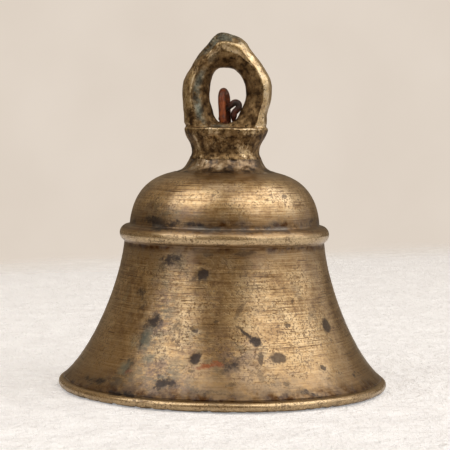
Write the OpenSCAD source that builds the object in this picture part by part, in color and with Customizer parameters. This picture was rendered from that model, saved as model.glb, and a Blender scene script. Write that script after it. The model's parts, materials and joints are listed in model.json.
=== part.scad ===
// Brass puja bell: turned bell with a cast suspension crown, an iron wire
// hanger through the neck, and a ball clapper that swings inside.
// Millimetres, +Z up, origin at the centre of the mouth's resting plane.

/* [Bell body] */
// Largest diameter, round the lip
mouth_d = 82.4; // [80:0.2:85]
// Outside diameter at the top of the waist, under the bead
waist_d = 50.3; // [49:0.1:51.5]
// Height of the top of the waist
waist_h = 36; // [35:0.5:36.5]
// Diameter over the bead round the shoulder
bead_d = 52.6; // [52:0.1:53.4]
// Height of the flat seat on top of the dome
dome_h = 53.8; // [53.5:0.1:54.5]
// Wall thickness at the waist and the dome
wall = 2.8; // [2.2:0.1:3.2]

/* [Crown] */
// Diameter of the neck at its narrowest
neck_d = 16.9; // [16:0.1:18]
// Diameter of the flat-topped collar under the loop
collar_d = 21.1; // [20.5:0.1:21.6]
// Height of the top of the collar
collar_h = 65; // [64.8:0.1:65.2]
// Half of the loop's depth at the legs, front to back
loop_half_depth = 4.7; // [4:0.1:5.2]
// Diameter of the hole down through the neck
bore_d = 4.8; // [4.7:0.1:5.2]

/* [Hanger and clapper] */
// Diameter of the iron wire of the hanger
hanger_wire_d = 2; // [1.8:0.1:2]
// Diameter of the retaining pin's wire
pin_wire_d = 1.8; // [1.5:0.1:1.8]
// Diameter of the clapper's rod
shank_d = 2.2; // [1.8:0.1:2.2]
// Diameter of the clapper's ball
bob_d = 16; // [14:0.5:17]
// Height of the clapper's pivot above the mouth
pivot_h = 41.5; // [41.2:0.1:41.8]

/* [Hidden] */
$fn = 64;
eps = 0.01;

brass = [0.66, 0.51, 0.32];
cast_brass = [0.50, 0.40, 0.26];
solder_grey = [0.74, 0.68, 0.58];
rusty_iron = [0.36, 0.18, 0.10];
dark_iron = [0.20, 0.12, 0.10];

// Lip and rim
lip_r = 1.15;
rim_out = mouth_d / 2 - lip_r;
rim_in = rim_out - 3.6;
lip_step_h = 2.45;
flange_h = 2.8;

// Bead
bead_wire_r = 2.2;
bead_x = bead_d / 2 - bead_wire_r;
bead_z = waist_h + 2.45;

// Dome and the crown's seat on it
dome_x = bead_x - 0.28;
dome_z = bead_z + 2.15;
seat_r = 12.8;
ceiling_h = dome_h - wall;
spigot_r = 4.5;
spigot_gap = 0.05;
spigot_h = ceiling_h - 0.8;

// Crown
neck_r = neck_d / 2;
foot_r = 9.05;
foot_top_h = 57.2;
collar_r = collar_d / 2;
funnel_h = 1.4;
funnel_flare = 0.8;
crest_at = 0.64;
loop_steps = 4;
section_steps = 5;

// Hanger: u runs across its eye, v across its pin
hanger_yaw = -17.5;
wire_r = hanger_wire_d / 2;
bore_run = 1.12;
eye_half = wire_r + 1;
eye_lean = -0.7;
eye_top_h = 74.9 - wire_r;
stirrup_half = 2.7;
lap = 1.9;
bar_bend = 1.3;
bar_half = stirrup_half - bar_bend - 0.05;
bar_joint = bar_half - 0.45;
hook_top_h = 46.6;
sweep_inset = 0.02;

// Clapper
shank_r = shank_d / 2;
eye_inner_r = wire_r + 0.7;
eye_ring_r = eye_inner_r + shank_r;
bearing_gap = 0.05;
eye_ring_h = pivot_h - (eye_inner_r - wire_r - bearing_gap);
bob_h = 9.6;
bob_flat_h = bob_h - bob_d / 2 + 0.3;
bob_bore_gap = 0.03;
rivet_h = 0.8;
rivet_r = 2;

function bezier(a, b, c, d, n) =
    [for (i = [0:n]) let (t = i / n, s = 1 - t)
        s * s * s * a + 3 * s * s * t * b + 3 * s * t * t * c + t * t * t * d];

function unit(v) = v / norm(v);

// ---- Bell body -------------------------------------------------------

function outer_profile() = concat(
    [[rim_in, 0], [rim_out, 0], [rim_out - 0.4, lip_step_h]],
    bezier([rim_out + 0.05, flange_h], [32.75, 8.85], [26.1, 26.1], [waist_d / 2, waist_h], 20),
    [[bead_x, waist_h + 0.6], [bead_x - 0.3, dome_z]],
    bezier([dome_x, dome_z], [23.25, 47], [20.6, dome_h - 1.6], [seat_r, dome_h], 12));

function inner_profile() = concat(
    [[spigot_r + spigot_gap, dome_h], [spigot_r + spigot_gap, ceiling_h]],
    bezier([seat_r - 1, ceiling_h], [19.4 - wall / 3, ceiling_h - 0.9],
           [dome_x - wall, 47], [dome_x - wall, dome_z], 8),
    bezier([waist_d / 2 - wall, waist_h], [24, 24], [29.5, 8.5], [rim_in, 0], 14));

module bell_body() {
    color(brass) rotate_extrude($fn = 96) {
        polygon(concat(outer_profile(), inner_profile()));
        translate([rim_out, lip_r]) circle(r = lip_r);
        translate([bead_x, bead_z]) circle(r = bead_wire_r);
    }
}

// ---- Crown -----------------------------------------------------------

// Matching points round the loop: [inner x, inner z, outer x, outer z, half depth factor]
loop_points = [
    [0, 64.6, 0, 62.5, 1.05],
    [1.75, 65.4, 7.5, 62.8, 1.05],
    [2.5, 67, 10.1, 65.2, 1.08],
    [3.5, 69.1, 10.5, 68.4, 1.02],
    [4.75, 71.8, 11.45, 72.2, 1],
    [4.6, 75.2, 11.2, 76.4, 0.98],
    [3.5, 77.8, 9.3, 80, 0.95],
    [2.2, 79.2, 6, 83.4, 0.93],
    [0.9, 79.65, 3.6, 87.3, 0.92],
    [-0.9, 79.65, -1.9, 88.75, 0.92],
    [-2.2, 79.2, -5.2, 85.4, 0.93],
    [-3.4, 77.6, -8.4, 81, 0.95],
    [-3.95, 74.8, -10.8, 77, 0.98],
    [-3.9, 71.6, -11.2, 72.6, 1],
    [-3.2, 68.9, -10.7, 68.4, 1.02],
    [-2.2, 67, -10.2, 65.2, 1.08],
    [-1.6, 65.4, -7.5, 62.8, 1.05]];

function around(list, i) = list[(i + len(list)) % len(list)];

function smooth(a, b, c, d, t) =
    0.5 * (2 * b + (c - a) * t + (2 * a - 5 * b + 4 * c - d) * t * t
           + (3 * b - a - 3 * c + d) * t * t * t);

function loop_at(i, t) =
    smooth(around(loop_points, i - 1), around(loop_points, i),
           around(loop_points, i + 1), around(loop_points, i + 2), t);

// Section points: a pointed lens from the inner edge, over the front crest,
// to the outer edge and back behind
section_angles = [for (i = [0:4 * section_steps - 1]) i * 90 / section_steps];

function lens(a) =
    let (inner = cos(a) > 0, power = inner ? 2 / 1.35 : 2 / 1.8)
    [(inner ? -1 : 1) * pow(abs(cos(a)), power), sign(sin(a)) * pow(abs(sin(a)), power)];

function section_point(p, a) =
    let (inner = [p[0], p[1]], outer = [p[2], p[3]],
         crest = inner + (outer - inner) * crest_at,
         s = lens(a),
         reach = s.x < 0 ? crest_at : 1 - crest_at,
         q = crest + (outer - inner) * s.x * reach)
    [q.x, -s.y * loop_half_depth * p[4], q.y];

loop_rings = [for (i = [0:len(loop_points) - 1]) for (j = [0:loop_steps - 1])
    loop_at(i, j / loop_steps)];

module loop() {
    rings = len(loop_rings);
    sides = len(section_angles);
    vertices = [for (p = loop_rings) for (a = section_angles) section_point(p, a)];
    faces = [for (i = [0:rings - 1]) for (j = [0:sides - 1])
        let (a = i * sides, b = ((i + 1) % rings) * sides, k = (j + 1) % sides)
        for (f = [[a + j, b + k, a + k], [a + j, b + j, b + k]]) f];
    polyhedron(points = vertices, faces = faces, convexity = 4);
}

module neck() {
    rotate_extrude($fn = 96)
        polygon(concat(
            [[0, spigot_h], [spigot_r, spigot_h], [spigot_r, dome_h], [foot_r, dome_h],
             [foot_r, foot_top_h], [neck_r + 0.25, 57.8]],
            bezier([neck_r, 58.6], [neck_r, 61.4], [collar_r - 0.4, 62.1],
                   [collar_r, collar_h - 0.7], 8),
            [[collar_r, collar_h - 0.3], [collar_r - 0.3, collar_h], [0, collar_h]]));
}

module crown() {
    color(cast_brass) difference() {
        union() {
            neck();
            loop();
        }
        translate([0, 0, spigot_h - 1]) cylinder(h = 20, d = bore_d);
        translate([0, 0, collar_h - 1])
            cylinder(h = funnel_h, r1 = bore_d / 2 - eps, r2 = bore_d / 2 + funnel_flare);
    }
}

module neck_solder() {
    color(solder_grey) rotate_extrude($fn = 96)
        polygon(concat([[foot_r, dome_h]],
            bezier([seat_r - 0.1, dome_h], [10.6, dome_h + 0.5], [foot_r + 0.5, dome_h + 1.6],
                   [foot_r, foot_top_h - 0.1], 7)));
}

// ---- Bent wire -------------------------------------------------------

function turn(path, i) = acos(unit(path[i] - path[i - 1]) * unit(path[i + 1] - path[i]));

// Points along a bend of the stated radius at corner i
function bend_points(path, bends, i) =
    let (angle = turn(path, i), into = unit(path[i] - path[i - 1]),
         out = unit(path[i + 1] - path[i]), inward = unit(out - (out * into) * into),
         start = path[i] - into * bends[i] * tan(angle / 2),
         centre = start + inward * bends[i], steps = max(2, round(angle / 15)))
    [for (k = [0:steps]) let (a = angle * k / steps)
        centre - inward * bends[i] * cos(a) + into * bends[i] * sin(a)];

// Centre line of a wire: straight runs joined by bends, repeated points dropped
function wire_line(path, bends) =
    let (last = len(path) - 1,
         all = concat([path[0]],
             [for (i = [1:last - 1]) each bend_points(path, bends, i)], [path[last]]))
    [for (i = [0:len(all) - 1]) if (i == 0 || norm(all[i] - all[i - 1]) > 0.05) all[i]];

// A round wire swept along a line; side is a direction that the line never takes
module wire(line, r, tip_r, tip_rings, side) {
    sides = 12;
    n = len(line);
    vertices = [for (i = [0:n - 1])
        let (along = unit(line[min(i + 1, n - 1)] - line[max(i - 1, 0)]),
             across = unit(cross(along, side)), up = cross(across, along),
             left = n - 1 - i,
             ring_r = left < tip_rings ? tip_r + (r - tip_r) * left / tip_rings : r)
        for (j = [0:sides - 1]) let (a = j * 360 / sides)
            line[i] + ring_r * (cos(a) * across + sin(a) * up)];
    walls = [for (i = [0:n - 2]) for (j = [0:sides - 1])
        let (a = i * sides, b = a + sides, k = (j + 1) % sides)
        for (f = [[a + j, a + k, b + k], [a + j, b + k, b + j]]) f];
    ends = [[for (j = [0:sides - 1]) sides - 1 - j],
            [for (j = [0:sides - 1]) (n - 1) * sides + j]];
    polyhedron(points = vertices, faces = concat(walls, ends), convexity = 6);
}

// ---- Hanger and pin --------------------------------------------------

// Corners of the hanger as [v, u, z]. The bar's far end turns up beside the lap.
hook_path = [
    [0, bar_joint, pivot_h],
    [0, stirrup_half, pivot_h],
    [0, stirrup_half, hook_top_h]];
hook_bends = [0, bar_bend, 0];
link_path = [
    [0, -bar_joint, pivot_h],
    [0, -stirrup_half, pivot_h],
    [0, -stirrup_half, 45],
    [0, -bore_run, 48.3],
    [0, -bore_run, 64.2],
    [eye_lean / 3, -eye_half, 66.8],
    [eye_lean, -eye_half, eye_top_h],
    [eye_lean, eye_half, eye_top_h],
    [eye_lean / 3, eye_half, 66.8],
    [0, bore_run, 64.2],
    [0, bore_run, 48.6],
    [lap, stirrup_half, 45.4],
    [lap, stirrup_half, 42.6]];
link_bends = [0, bar_bend, 2, 2.2, 4, 3, eye_half, eye_half, 3, 4, 2.2, 2, 0];

module hanger_wire() {
    swept_r = wire_r - sweep_inset;
    color(rusty_iron) rotate([0, 0, hanger_yaw]) {
        translate([0, bar_half, pivot_h]) rotate([90, 0, 0])
            cylinder(h = 2 * bar_half, r = wire_r, $fn = 48);
        wire(wire_line(hook_path, hook_bends), swept_r, swept_r, 0, [1, 0, 0]);
        wire(wire_line(link_path, link_bends), swept_r, swept_r, 0, [1, 0, 0]);
    }
}

// Corners of the pin as [v, u, z]: a hook through the eye, its foot on the crown
pin_path = [
    [-1.2, 0, 66.9],
    [-0.75, 0, 69.1],
    [2.6, 0, 71.5],
    [3.66, 0, 70.2],
    [2.05, 0, 68.6],
    [1.95, 0, 66.5]];
pin_bends = [0, 1.6, 0.95, 0.95, 1.2, 0];
pin_tip_r = 0.4;

module retaining_pin() {
    color(dark_iron) rotate([0, 0, hanger_yaw])
        wire(wire_line(pin_path, pin_bends), pin_wire_d / 2, pin_tip_r, 2, [0, 1, 0]);
}

// ---- Clapper ---------------------------------------------------------

module clapper_shank() {
    color(rusty_iron) rotate([0, 0, hanger_yaw]) {
        translate([0, 0, eye_ring_h]) rotate([90, 0, 0])
            rotate_extrude($fn = 96) translate([eye_ring_r, 0]) circle(r = shank_r, $fn = 32);
        translate([0, 0, bob_flat_h - eps])
            cylinder(h = eye_ring_h - eye_ring_r - bob_flat_h, r = shank_r, $fn = 48);
        translate([0, 0, bob_flat_h - rivet_h])
            cylinder(h = rivet_h, r1 = rivet_r - 0.5, r2 = rivet_r);
    }
}

module clapper_bob() {
    color(brass) difference() {
        translate([0, 0, bob_h]) sphere(d = bob_d, $fn = 96);
        translate([0, 0, bob_flat_h - bob_d]) cylinder(h = bob_d, r = bob_d);
        cylinder(h = 2 * bob_h, r = shank_r + bob_bore_gap);
    }
}

bell_body();
crown();
neck_solder();
hanger_wire();
retaining_pin();
clapper_shank();
clapper_bob();
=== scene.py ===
"""Brass puja bell: the visual model and its studio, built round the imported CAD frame."""
import json
import math

import bmesh
import bpy
import numpy as np
from mathutils import Matrix, Vector, noise


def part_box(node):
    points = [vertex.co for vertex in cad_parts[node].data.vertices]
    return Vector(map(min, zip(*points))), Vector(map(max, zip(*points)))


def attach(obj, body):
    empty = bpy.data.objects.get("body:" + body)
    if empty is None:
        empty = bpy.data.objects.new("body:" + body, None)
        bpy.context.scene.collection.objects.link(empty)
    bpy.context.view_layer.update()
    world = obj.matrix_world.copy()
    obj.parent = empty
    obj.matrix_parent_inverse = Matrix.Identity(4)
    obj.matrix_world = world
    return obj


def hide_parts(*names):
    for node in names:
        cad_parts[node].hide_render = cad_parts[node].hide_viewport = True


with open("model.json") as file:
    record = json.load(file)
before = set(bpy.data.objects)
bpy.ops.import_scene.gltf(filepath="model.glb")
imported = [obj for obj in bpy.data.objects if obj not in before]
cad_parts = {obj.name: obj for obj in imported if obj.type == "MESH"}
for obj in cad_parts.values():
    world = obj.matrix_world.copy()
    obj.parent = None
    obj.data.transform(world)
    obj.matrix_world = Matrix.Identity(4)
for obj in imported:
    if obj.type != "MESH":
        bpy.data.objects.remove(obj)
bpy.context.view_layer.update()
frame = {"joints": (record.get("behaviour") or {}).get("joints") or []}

# ---- Dimensions, in millimetres, shared with the CAD ----

MM = 0.001
# How close to the axis an outline starts or ends where its solid is filled in
AXIS_R = 0.02
BODY_BOX = np.array(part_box("bell_body")) / MM
CROWN_BOX = np.array(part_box("crown")) / MM
SOLDER_BOX = np.array(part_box("neck_solder")) / MM

LIP_R = 1.15
RIM_OUT = BODY_BOX[1][0] - LIP_R
RIM_IN = RIM_OUT - 3.6
LIP_STEP_H = 2.45
FLANGE_H = 2.8
WAIST_R = 25.15
WAIST_H = 36.0
BEAD_WIRE_R = 2.2
BEAD_R = 26.3 - BEAD_WIRE_R
BEAD_H = WAIST_H + 2.45
DOME_R = BEAD_R - 0.28
DOME_Z = BEAD_H + 2.15
DOME_H = BODY_BOX[1][2]
WALL = 2.8
CEILING_H = DOME_H - WALL
SEAT_R = 12.8
SPIGOT_R = 4.5
SPIGOT_H = CROWN_BOX[0][2]
SPIGOT_GAP = 0.05
BELL_SEGMENTS = 352
# Control points of the waist's flare and of the dome, as (r, z)
FLARE_PULL = ((32.75, 8.85), (26.1, 26.1))
DOME_PULL = ((23.25, 47), (20.6, DOME_H - 1.6))

NECK_R = 8.45
FOOT_R = 9.05
FOOT_TOP_H = SOLDER_BOX[1][2] + 0.1
COLLAR_R = CROWN_BOX[1][1]
COLLAR_H = 65.0
BORE_R = 2.4
FUNNEL_R = 3.2
LOOP_HALF_DEPTH = 4.7
CREST_AT = 0.64
CROWN_VOXEL = 0.23
# Rows of LOOP_POINTS, counted from 0, at the middle of the gate stub and of the rubbed top
STUB_ROW = 9.4
TOP_ROW = 8.6

WIRE_R = 1.0
HANGER_YAW = math.radians(-17.5)
PIVOT = np.array([0.0, 0.0, frame["joints"][2]["pos_m"][2] / MM])
BORE_RUN = 1.12
EYE_HALF = 2.0
EYE_LEAN = -0.7
EYE_TOP_H = 73.9
STIRRUP_HALF = 2.7
HOOK_TOP_H = 46.6
LAP = 1.9
PIN_R = 0.9
PIN_TIP_R = 0.4

SHANK_R = 1.1
EYE_RING_R = WIRE_R + 0.7 + SHANK_R
EYE_RING_H = PIVOT[2] - 0.65
BOB_R = 8.0
BOB_H = 9.6
BOB_FLAT_H = BOB_H - BOB_R + 0.3
RIVET_H = 0.8
RIVET_R = 2.0
BORE_WALL_R = SHANK_R + 0.05

FLOOR_R = 480

# Matching points round the loop: inner x, inner z, outer x, outer z, half depth factor.
# They follow the CAD, but the hole's bottom is higher, close round the wire.
LOOP_POINTS = np.array([
    [0, 67.2, 0, 62.5, 1.05], [1.6, 67.4, 7.5, 62.8, 1.05], [2.9, 68, 10.1, 65.2, 1.08],
    [3.5, 69.1, 10.5, 68.4, 1.02], [4.75, 71.8, 11.45, 72.2, 1], [4.6, 75.2, 11.1, 76.5, 0.98],
    [3.5, 77.8, 9.5, 80.2, 0.95], [2.2, 79.2, 6.5, 83.8, 0.93], [0.9, 79.65, 3.6, 87.3, 0.92],
    [-0.9, 79.65, -1.9, 88.75, 0.92], [-2.2, 79.2, -5.2, 85.4, 0.93], [-3.4, 77.6, -8.4, 81, 0.95],
    [-3.95, 74.8, -10.6, 77, 0.98], [-3.9, 71.6, -11.2, 72.8, 1], [-3.2, 68.9, -10.7, 68.4, 1.02],
    [-2.7, 67.9, -10.2, 65.2, 1.08], [-1.6, 67.4, -7.5, 62.8, 1.05]])

# Half of the loop's section: share of the way from its inner edge to its outer one, and depth
LOOP_SECTION = np.array([
    [0, 0], [0.01, 0.22], [0.05, 0.4], [0.31, 0.8], [0.59, 0.98], [0.64, 1], [0.71, 0.96],
    [0.88, 0.7], [0.97, 0.36], [1, 0]])


# ---- Mesh helpers ----

def unit(v):
    return v / np.linalg.norm(v)


def bezier(a, b, c, d, n):
    """n + 1 points of a cubic curve."""
    t = np.linspace(0, 1, n + 1)[:, None]
    s = 1 - t
    a, b, c, d = (np.array(p, float) for p in (a, b, c, d))
    return s ** 3 * a + 3 * s * s * t * b + 3 * s * t * t * c + t ** 3 * d


def arc(centre, radius, start, end, n):
    """n + 1 points of an arc, its angles in degrees from the +r axis."""
    a = np.radians(np.linspace(start, end, n + 1))
    return np.column_stack([centre[0] + radius * np.cos(a), centre[1] + radius * np.sin(a)])


def line(a, b, n):
    """n points from a towards b, b left out."""
    t = (np.arange(n) / n)[:, None]
    return np.array(a, float) * (1 - t) + np.array(b, float) * t


def grid_faces(rows, columns, wrap):
    """Quads of a grid of points whose columns close on themselves, and its rows too if wrap."""
    row = np.arange(rows if wrap else rows - 1)[:, None] * columns
    column = np.arange(columns)[None, :]
    after = (column + 1) % columns
    above = (row + columns) % (rows * columns)
    quads = np.stack([row + column, row + after, above + after, above + column], axis=-1)
    return quads.reshape(-1, 4).tolist()


def make_piece(name, points, faces, materials):
    """A closed mesh object from points in millimetres, its faces turned to look outward."""
    mesh = bpy.data.meshes.new(name)
    mesh.from_pydata((np.asarray(points, float) * MM).tolist(), [], faces)
    bm = bmesh.new()
    bm.from_mesh(mesh)
    if bm.calc_volume(signed=True) < 0:
        bmesh.ops.reverse_faces(bm, faces=bm.faces)
    bm.to_mesh(mesh)
    bm.free()
    mesh.polygons.foreach_set("use_smooth", [True] * len(mesh.polygons))
    piece = bpy.data.objects.new(name, mesh)
    bpy.context.scene.collection.objects.link(piece)
    for material in materials:
        mesh.materials.append(material)
    return piece


def points_of(piece):
    """Vertex positions in millimetres."""
    found = np.zeros(len(piece.data.vertices) * 3)
    piece.data.vertices.foreach_get("co", found)
    return found.reshape(-1, 3) / MM


def normals_of(piece):
    found = np.zeros(len(piece.data.vertices) * 3)
    piece.data.vertices.foreach_get("normal", found)
    return found.reshape(-1, 3)


def place_points(piece, points):
    piece.data.vertices.foreach_set("co", (points * MM).ravel())
    piece.data.update()


def push_out(piece, points, move):
    """Moves each point of a piece along its normal."""
    place_points(piece, points + normals_of(piece) * move[:, None])


def noise_at(points, scale, offset=0.0):
    """Smooth noise from about -1 to 1 at each point, scale in cycles per millimetre."""
    shift = Vector((offset, offset * 1.7, -offset))
    return np.array([noise.noise(Vector(p) * scale + shift) for p in points])


def bump(distance, width):
    """1 at distance 0, falling smoothly to 0 at width."""
    t = np.clip(1 - np.abs(distance) / width, 0, 1)
    return t * t * (3 - 2 * t)


def rise(values, start, width):
    """0 up to start, then rising evenly to 1 over a width."""
    return np.clip((values - start) / width, 0, 1)


def radius_of(points):
    """Each point's distance from the bell's axis."""
    return np.hypot(points[:, 0], points[:, 1])


def lathe(name, profile, segments, materials, closed=True):
    """A surface of revolution from a closed outline of (r, z), or one that ends on the axis."""
    angles = np.arange(segments) * 2 * math.pi / segments
    r, z = profile[:, 0][:, None], profile[:, 1][:, None]
    points = np.stack([r * np.sin(angles), -r * np.cos(angles), z + 0 * angles], axis=-1)
    return make_piece(name, points.reshape(-1, 3), grid_faces(len(profile), segments, closed), materials)


def round_solid(name, profile, segments, materials):
    """A solid of revolution whose outline starts and ends close to the axis."""
    solid = lathe(name, profile, segments, materials, closed=False)
    bm = bmesh.new()
    bm.from_mesh(solid.data)
    bmesh.ops.holes_fill(bm, edges=bm.edges)
    bm.to_mesh(solid.data)
    bm.free()
    return solid


def tube(name, path, radii, sides, start_side, materials):
    """A round bar swept along a path, with domed ends. start_side is never along the path."""
    tangents = np.gradient(path, axis=0)
    tangents /= np.linalg.norm(tangents, axis=1)[:, None]
    cap = np.radians([80, 60, 40, 20])
    centres = [path[0] - tangents[0] * radii[0] * math.sin(a) * 0.6 for a in cap]
    sizes = [radii[0] * math.cos(a) for a in cap]
    ways = [tangents[0]] * len(cap)
    centres += list(path) + [path[-1] + tangents[-1] * radii[-1] * math.sin(a) * 0.6 for a in cap[::-1]]
    sizes += list(radii) + [radii[-1] * math.cos(a) for a in cap[::-1]]
    ways += list(tangents) + [tangents[-1]] * len(cap)
    around = np.arange(sides) * 2 * math.pi / sides
    across = unit(np.cross(ways[0], start_side))
    points = []
    for centre, size, way in zip(centres, sizes, ways):
        across = unit(across - way * across.dot(way))
        up = np.cross(way, across)
        points.append(centre + size * (np.cos(around)[:, None] * across + np.sin(around)[:, None] * up))
    rings = len(points)
    faces = grid_faces(rings, sides, False)
    faces += [list(range(sides))[::-1], [(rings - 1) * sides + i for i in range(sides)]]
    return make_piece(name, np.concatenate(points), faces, materials)


def bent_wire(corners, bends, step=0.35):
    """Evenly spaced points along straight runs joined by arcs, with one bend radius to a corner."""
    corners = [np.array(c, float) for c in corners]
    route = [corners[0]]
    for i in range(1, len(corners) - 1):
        into, out = unit(corners[i] - corners[i - 1]), unit(corners[i + 1] - corners[i])
        turn = math.acos(np.clip(into.dot(out), -1, 1))
        inward = unit(out - out.dot(into) * into)
        start = corners[i] - into * bends[i] * math.tan(turn / 2)
        centre = start + inward * bends[i]
        for a in np.linspace(0, turn, max(4, int(turn / 0.12))):
            route.append(centre - inward * bends[i] * math.cos(a) + into * bends[i] * math.sin(a))
    route.append(corners[-1])
    route = np.array(route)
    lengths = np.linalg.norm(np.diff(route, axis=0), axis=1)
    at = np.concatenate([[0], np.cumsum(lengths)])
    even = np.linspace(0, at[-1], max(2, int(at[-1] / step)))
    return np.column_stack([np.interp(even, at, route[:, k]) for k in range(3)])


def turned(path):
    """A path given as (v, u, z) in the hanger's own directions, turned into the bell's."""
    c, s = math.cos(HANGER_YAW), math.sin(HANGER_YAW)
    return np.column_stack([path[:, 0] * c - path[:, 1] * s, path[:, 0] * s + path[:, 1] * c, path[:, 2]])


# ---- Material helpers ----

class Graph:
    """The nodes of a material or a world, and short calls that add to them."""

    def __init__(self, owner):
        owner.use_nodes = True
        self.nodes, self.links = owner.node_tree.nodes, owner.node_tree.links
        self.nodes.clear()

    def node(self, kind, inputs=None, **settings):
        made = self.nodes.new("ShaderNode" + kind)
        for key, value in settings.items():
            setattr(made, key, value)
        for key, value in (inputs or {}).items():
            if isinstance(value, bpy.types.NodeSocket):
                self.links.new(value, made.inputs[key])
            else:
                made.inputs[key].default_value = value
        return made

    def scaled(self, vector, factors):
        return self.node("VectorMath", {0: vector, 1: factors}, operation="MULTIPLY").outputs[0]

    def length(self, vector):
        return self.node("VectorMath", {0: vector}, operation="LENGTH").outputs[1]

    def math(self, operation, a, b=0.0, clamp=False):
        return self.node("Math", {0: a, 1: b}, operation=operation, use_clamp=clamp).outputs[0]

    def times(self, a, b):
        return self.math("MULTIPLY", a, b)

    def plus(self, total, *others):
        for other in others:
            total = self.math("ADD", total, other)
        return total

    def minus(self, a, b):
        return self.math("SUBTRACT", a, b)

    def most(self, largest, *others):
        """The largest of several values."""
        for other in others:
            largest = self.math("MAXIMUM", largest, other)
        return largest

    def spread(self, value, amount):
        """A noise moved from round 0.5 to round 0, and scaled."""
        return self.times(self.minus(value, 0.5), amount)

    def noise(self, vector, scale, detail=3.0, roughness=0.55):
        return self.node("TexNoise", {"Vector": vector, "Scale": scale, "Detail": detail,
                                      "Roughness": roughness}).outputs[0]

    def step(self, value, low, high):
        """0 below low and 1 above high, or the other way round where low is the larger."""
        return self.node("MapRange", {0: value, 1: low, 2: high}, interpolation_type="SMOOTHSTEP",
                         clamp=True).outputs[0]

    def ramp(self, value, stops):
        """A colour or grey that changes with value. Each stop is (position, grey or colour)."""
        made = self.node("ValToRGB", {0: value})
        elements = made.color_ramp.elements
        while len(elements) < len(stops):
            elements.new(1.0)
        for element, (position, tone) in zip(elements, stops):
            element.position = position
            element.color = (tone, tone, tone, 1) if isinstance(tone, float) else (*tone, 1)
        return made.outputs[0]

    def mix(self, factor, a, b):
        made = self.node("Mix", data_type="RGBA")
        for index, value in ((0, factor), (6, a), (7, b)):
            if isinstance(value, bpy.types.NodeSocket):
                self.links.new(value, made.inputs[index])
            elif index == 0:
                made.inputs[index].default_value = value
            else:
                made.inputs[index].default_value = (*value, 1)
        return made.outputs[2]


class Surface(Graph):
    """A material's nodes. Lengths in them are millimetres."""

    def __init__(self, name):
        self.material = bpy.data.materials.new(name)
        super().__init__(self.material)
        position = self.node("TexCoord").outputs["Object"]
        self.mm = self.scaled(position, (1 / MM, 1 / MM, 1 / MM))
        self.x, self.y, self.z = self.node("SeparateXYZ", {0: self.mm}).outputs

    def clouds(self, scale, detail=3.0, roughness=0.55):
        return self.noise(self.mm, scale, detail, roughness)

    def painted(self, name):
        """The value that put_attribute left on the mesh under a name."""
        return self.node("Attribute", attribute_name=name).outputs["Fac"]

    def band(self, height, outside, inside):
        """1 up to the distance inside from a height, fading to 0 at the distance outside."""
        return self.step(self.math("ABSOLUTE", self.minus(self.z, height)), outside, inside)

    def bump(self, height, distance_mm, normal=None):
        inputs = {"Height": height, "Distance": distance_mm * MM, "Strength": 1.0}
        if normal is not None:
            inputs["Normal"] = normal
        return self.node("Bump", inputs).outputs[0]

    def warped(self, amount, scale):
        """Positions pushed about by noise, for edges that aren't round."""
        push = self.node("TexNoise", {"Vector": self.mm, "Scale": scale, "Detail": 3.0}).outputs[1]
        centred = self.node("VectorMath", {0: push, 1: (0.5, 0.5, 0.5)}, operation="SUBTRACT").outputs[0]
        pushed = self.scaled(centred, (amount, amount, amount))
        return self.node("VectorMath", {0: self.mm, 1: pushed}, operation="ADD").outputs[0]

    def shade(self, color, metallic, roughness, normal, **others):
        """Ends the material with one shader, and returns the material."""
        inputs = {"Base Color": color, "Metallic": metallic, "Roughness": roughness, "Normal": normal}
        inputs.update((name.replace("_", " "), value) for name, value in others.items())
        self.node("OutputMaterial", {0: self.node("BsdfPrincipled", inputs).outputs[0]})
        return self.material


# ---- Surface marks on the bell ----

def outer_radius(height):
    """The bell's outside radius at a height, on the waist's flare and the dome."""
    flare = bezier((RIM_OUT + 0.05, FLANGE_H), *FLARE_PULL, (WAIST_R, WAIST_H), 40)
    dome = bezier((DOME_R, DOME_Z), *DOME_PULL, (SEAT_R, DOME_H), 40)
    profile = np.concatenate([flare, dome])
    return float(np.interp(height, profile[:, 1], profile[:, 0]))


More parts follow.
